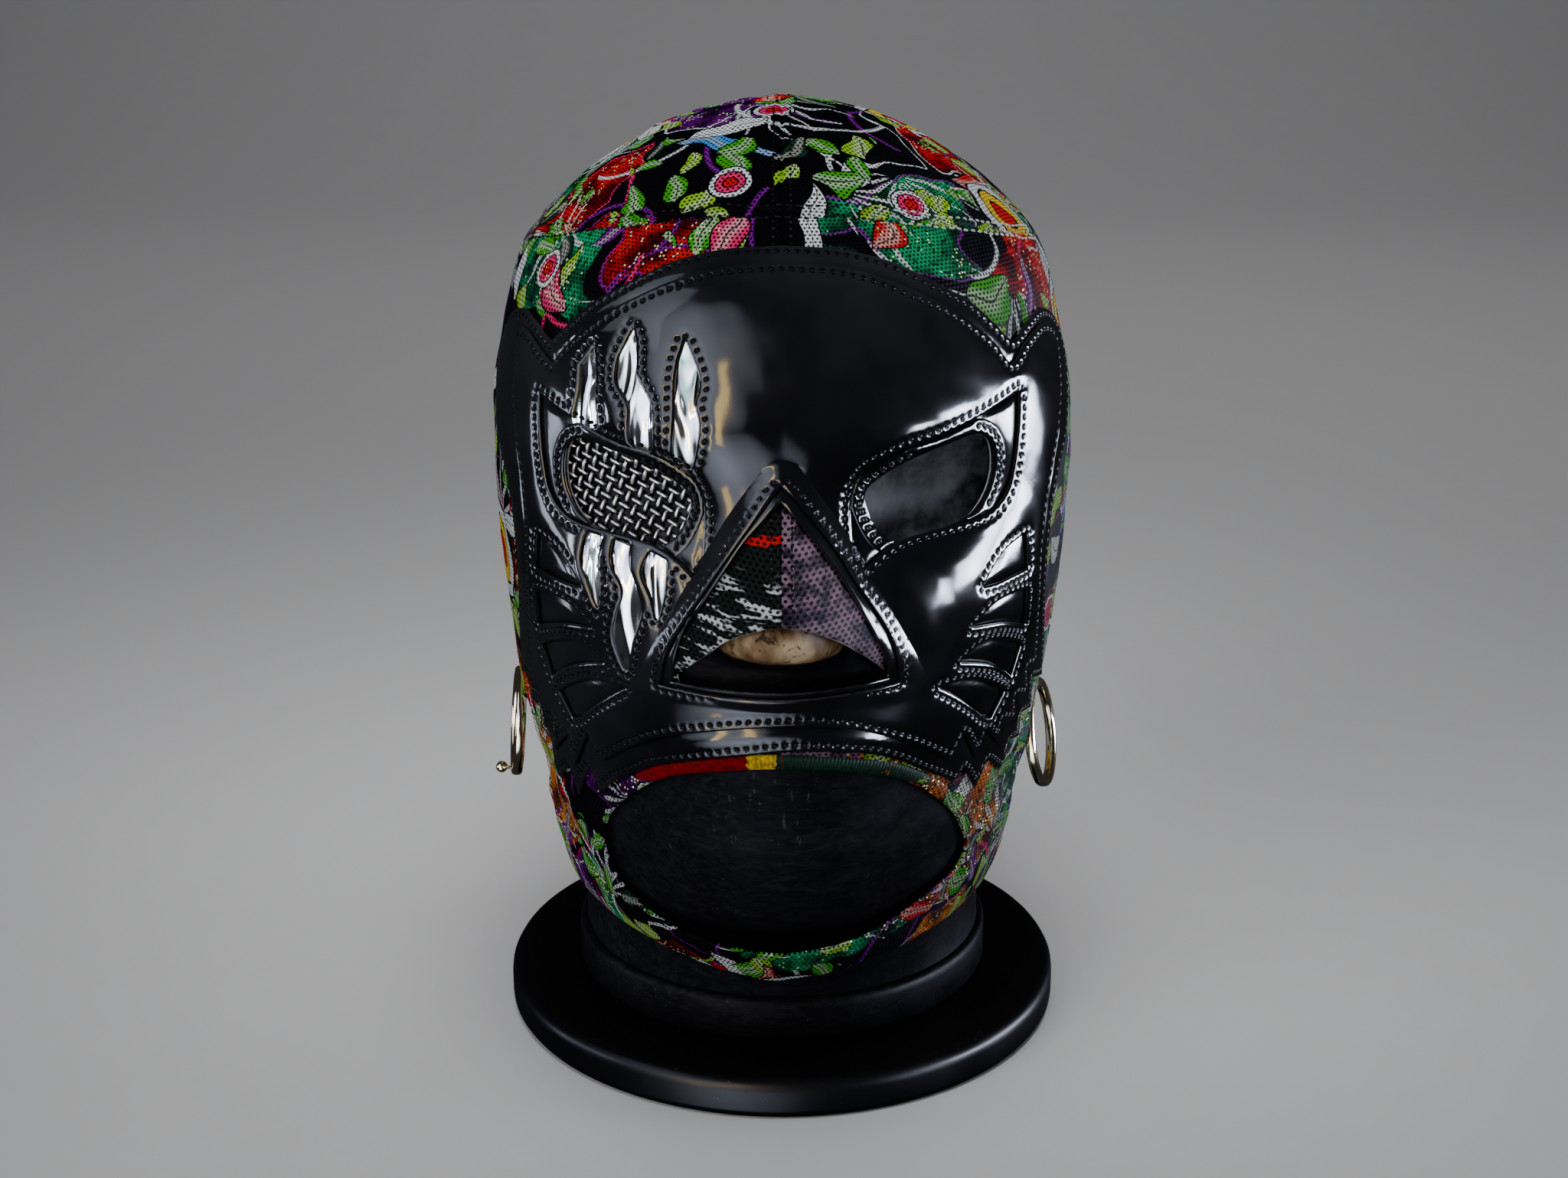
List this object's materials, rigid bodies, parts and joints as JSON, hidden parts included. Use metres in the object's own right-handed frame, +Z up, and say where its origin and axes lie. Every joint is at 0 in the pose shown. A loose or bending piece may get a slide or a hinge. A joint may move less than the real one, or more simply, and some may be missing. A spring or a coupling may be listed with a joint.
{
  "type": "wrestling mask on display head",
  "caption": "Full-head wrestling mask of printed cloth with layered black patent face panels, a wire eye screen and ear hoops, on a black display head with a round foot.",
  "frame": {"origin": "centre of the round foot's flat underside", "axes": "+Z up through the head; the face looks along -Y; +X is the viewer's right when facing the mask"},
  "size_m": [0.1676, 0.2213, 0.2685],
  "materials": {
    "printed_cloth": "printed perforated mesh with small bright dots",
    "patent_vinyl": "glossy black patent, stitched",
    "silver_inlay": "mirror silver foil vinyl",
    "steel_wire": "woven steel wire",
    "hoop_metal": "polished pale gold",
    "eyelet_metal": "plain nickel",
    "form_satin": "satin black, scratched, nose tip worn to cream",
    "stand_gloss": "gloss black"
  },
  "bodies": {
    "root": {"stand_foot": "stand_gloss", "head_form": "form_satin", "hood": "printed_cloth", "closure_tongue": "printed_cloth", "vinyl_under_panel": "patent_vinyl", "vinyl_face_panel": "patent_vinyl", "eye_patch_left": "patent_vinyl", "eye_patch_right": "patent_vinyl", "placket_left": "patent_vinyl", "placket_right": "patent_vinyl", "eye_screen": "steel_wire", "hoop_left": "hoop_metal", "hoop_right": "hoop_metal", "flame_inlay_upper_1": "silver_inlay", "flame_inlay_upper_2": "silver_inlay", "flame_inlay_upper_3": "silver_inlay", "flame_inlay_lower_1": "silver_inlay", "flame_inlay_lower_2": "silver_inlay", "flame_inlay_lower_3": "silver_inlay", "eyelet_left_1": "eyelet_metal", "eyelet_left_2": "eyelet_metal", "eyelet_left_3": "eyelet_metal", "eyelet_left_4": "eyelet_metal", "eyelet_left_5": "eyelet_metal", "eyelet_right_1": "eyelet_metal", "eyelet_right_2": "eyelet_metal", "eyelet_right_3": "eyelet_metal", "eyelet_right_4": "eyelet_metal", "eyelet_right_5": "eyelet_metal"}
  },
  "joints": []
}
